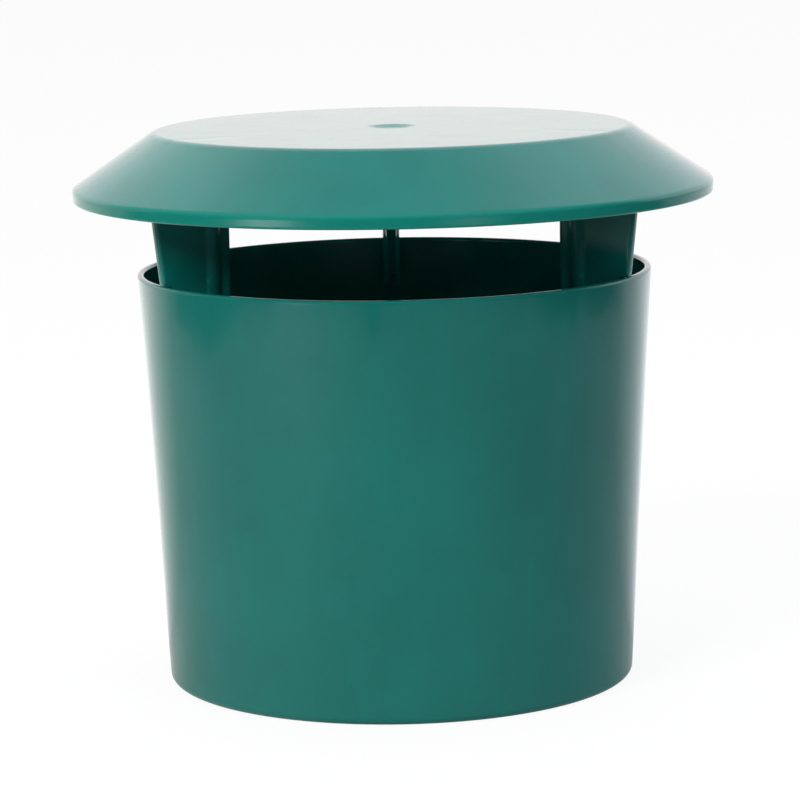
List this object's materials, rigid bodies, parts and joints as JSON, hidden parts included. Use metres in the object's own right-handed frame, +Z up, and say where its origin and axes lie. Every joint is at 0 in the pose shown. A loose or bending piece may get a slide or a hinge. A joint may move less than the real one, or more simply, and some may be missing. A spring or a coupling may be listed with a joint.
{
  "type": "cup insect trap",
  "caption": "Tapered green plastic cup with a lift-off conical roof on legs that plug into the cup's mouth, leaving a gap for insects.",
  "frame": {"origin": "centre of the cup's foot, on the surface that the trap stands on", "axes": "+Z up along the cup's axis, +Y towards the leg that stands alone at the back"},
  "size_m": [0.11, 0.11, 0.0955],
  "materials": {
    "cup_plastic": "glossy green polypropylene, slightly translucent, fine handling marks",
    "lid_plastic": "glossy green polypropylene, slightly translucent, faint flow marks round the gate"
  },
  "bodies": {
    "cup": {"cup": "cup_plastic"},
    "lid": {"lid": "lid_plastic"}
  },
  "joints": [
    {"name": "lid_lift", "type": "slide", "parent": "cup", "child": "lid", "axis": [0, 0, 1], "range_m": [0, 0.03]}
  ]
}
